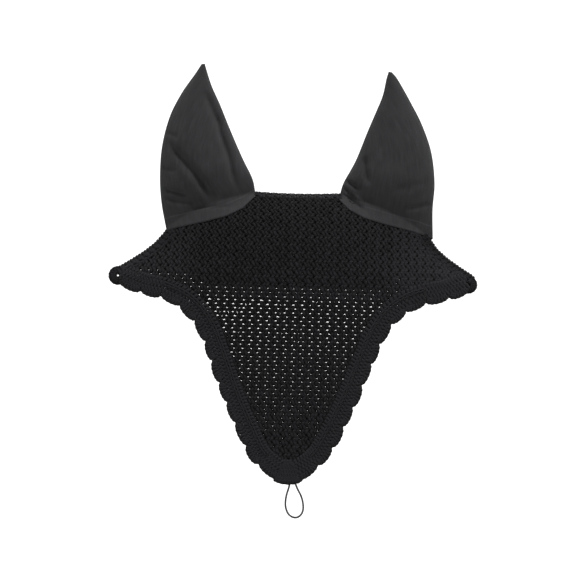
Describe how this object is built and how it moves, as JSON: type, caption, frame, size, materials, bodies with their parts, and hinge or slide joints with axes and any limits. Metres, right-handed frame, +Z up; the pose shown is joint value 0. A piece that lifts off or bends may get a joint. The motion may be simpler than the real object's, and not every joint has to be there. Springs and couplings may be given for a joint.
{
  "type": "horse fly veil",
  "caption": "Crocheted horse ear bonnet: closed ear covers on a cap over the poll, a forehead triangle with shell edging and an elastic loop at its point.",
  "frame": {"origin": "top of the fold over the poll, midway between the ear covers, where the veil rests on the head", "axes": "+Z up, front of the veil faces -Y, -X is the side seen at the left from the front"},
  "size_m": [0.417, 0.1131, 0.5057],
  "materials": {
    "crochet_yarn": "matte black cotton yarn, open crochet",
    "ear_cloth": "matte charcoal stretch cloth, fine weave",
    "elastic_cord": "braided dark grey elastic cord"
  },
  "bodies": {
    "cap": {"crown_ridge": "crochet_yarn", "brow_net": "crochet_yarn", "poll_net": "crochet_yarn", "poll_edging": "crochet_yarn", "left_wing_edge": "crochet_yarn", "left_wing_band": "crochet_yarn", "left_wing_scallops": "crochet_yarn", "right_wing_edge": "crochet_yarn", "right_wing_band": "crochet_yarn", "right_wing_scallops": "crochet_yarn", "left_ear_hem": "ear_cloth", "right_ear_hem": "ear_cloth"},
    "veil": {"forehead_net": "crochet_yarn", "left_border_band": "crochet_yarn", "left_ridge_chain": "crochet_yarn", "left_scallops": "crochet_yarn", "right_border_band": "crochet_yarn", "right_ridge_chain": "crochet_yarn", "right_scallops": "crochet_yarn", "tip_scallop": "crochet_yarn", "loop_knot": "crochet_yarn"},
    "loop": {"elastic_loop": "elastic_cord"},
    "left_ear": {"left_ear_front": "ear_cloth", "left_ear_back": "ear_cloth", "left_ear_outer_seam": "ear_cloth", "left_ear_inner_seam": "ear_cloth"},
    "right_ear": {"right_ear_front": "ear_cloth", "right_ear_back": "ear_cloth", "right_ear_outer_seam": "ear_cloth", "right_ear_inner_seam": "ear_cloth"}
  },
  "joints": [
    {"name": "left_ear_lean", "type": "hinge", "parent": "cap", "child": "left_ear", "pos_m": [-0.098, 0, -0.0245], "axis": [-0.9333, 0, -0.359], "range_deg": [-25, 40], "deforming": ["left_ear_hem"]},
    {"name": "right_ear_lean", "type": "hinge", "parent": "cap", "child": "right_ear", "pos_m": [0.098, 0, -0.0245], "axis": [-0.9333, 0, 0.359], "range_deg": [-25, 40], "deforming": ["right_ear_hem"]},
    {"name": "veil_lift", "type": "hinge", "parent": "cap", "child": "veil", "pos_m": [0, -0.05, -0.122], "axis": [-1, 0, 0], "range_deg": [0, 110]},
    {"name": "loop_swing", "type": "hinge", "parent": "veil", "child": "loop", "pos_m": [0.004, -0.0579, -0.3262], "axis": [1, 0, 0], "range_deg": [-60, 60]}
  ]
}
